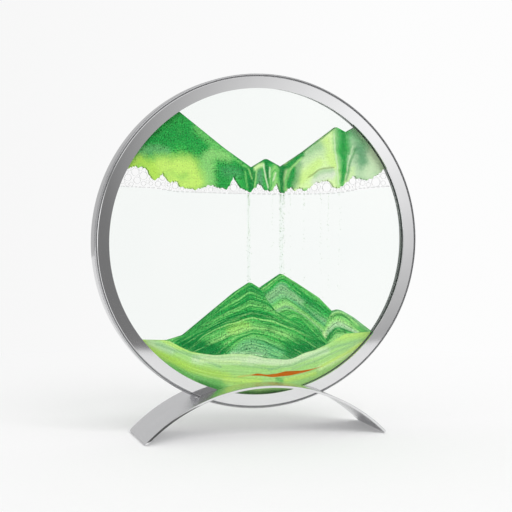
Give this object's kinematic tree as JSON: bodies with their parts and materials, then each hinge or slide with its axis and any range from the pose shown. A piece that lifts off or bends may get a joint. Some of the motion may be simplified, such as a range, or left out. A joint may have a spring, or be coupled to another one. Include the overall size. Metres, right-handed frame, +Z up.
{
  "type": "moving sand picture",
  "caption": "Round metal-framed glass cell in which coloured sand trickles through water and bubbles into hills, standing in the slot of an arched strip stand.",
  "frame": {"origin": "on the table, under the middle of the round frame and midway between the stand's feet", "axes": "+Z up, +Y from the front of the picture to its back along the axis of the round frame, +X to the right seen from the front"},
  "size_m": [0.185, 0.0438, 0.1997],
  "materials": {
    "frame_aluminium": "satin",
    "stand_aluminium": "satin",
    "clear_glass": "polished",
    "black_rubber": "matte",
    "grey_silicone": "satin",
    "grey_acrylic": "gloss",
    "water": "polished",
    "air_bubbles": "polished",
    "green_sand": "matte",
    "lime_sand": "matte",
    "orange_sand": "matte"
  },
  "bodies": {
    "stand": {"stand_strip": "stand_aluminium"},
    "contents": {"liquid_upper": "water", "liquid_lower": "water", "bubble_raft": "air_bubbles", "sand_bank_left": "green_sand", "sand_bank_middle": "lime_sand", "sand_bank_right": "lime_sand", "sand_bank_far": "lime_sand", "falling_sand_left": "green_sand", "falling_sand_right": "green_sand", "sand_hill_left": "green_sand", "sand_hill_right": "green_sand", "sand_hill_small": "green_sand", "sand_bed": "lime_sand", "sand_vein": "orange_sand"},
    "frame": {"outer_hoop": "frame_aluminium", "front_bezel": "frame_aluminium", "rear_bezel": "frame_aluminium", "front_gasket": "black_rubber", "rear_gasket": "black_rubber", "front_glass": "clear_glass", "rear_glass": "clear_glass", "front_seal": "grey_silicone", "rear_seal": "grey_silicone", "spacer_ring": "grey_acrylic"},
    "filler_plug": {"filler_cap": "frame_aluminium", "filler_stopper": "black_rubber"}
  },
  "joints": [
    {"name": "frame_lift", "type": "slide", "parent": "stand", "child": "contents", "axis": [0, 0, 1], "range_m": [0, 0.05]},
    {"name": "frame_spin", "type": "hinge", "parent": "contents", "child": "frame", "pos_m": [0, 0, 0.10723], "axis": [0, 1, 0], "continuous": true},
    {"name": "plug_pull", "type": "slide", "parent": "frame", "child": "filler_plug", "axis": [0, 0, 1], "range_m": [0, 0.012]}
  ]
}
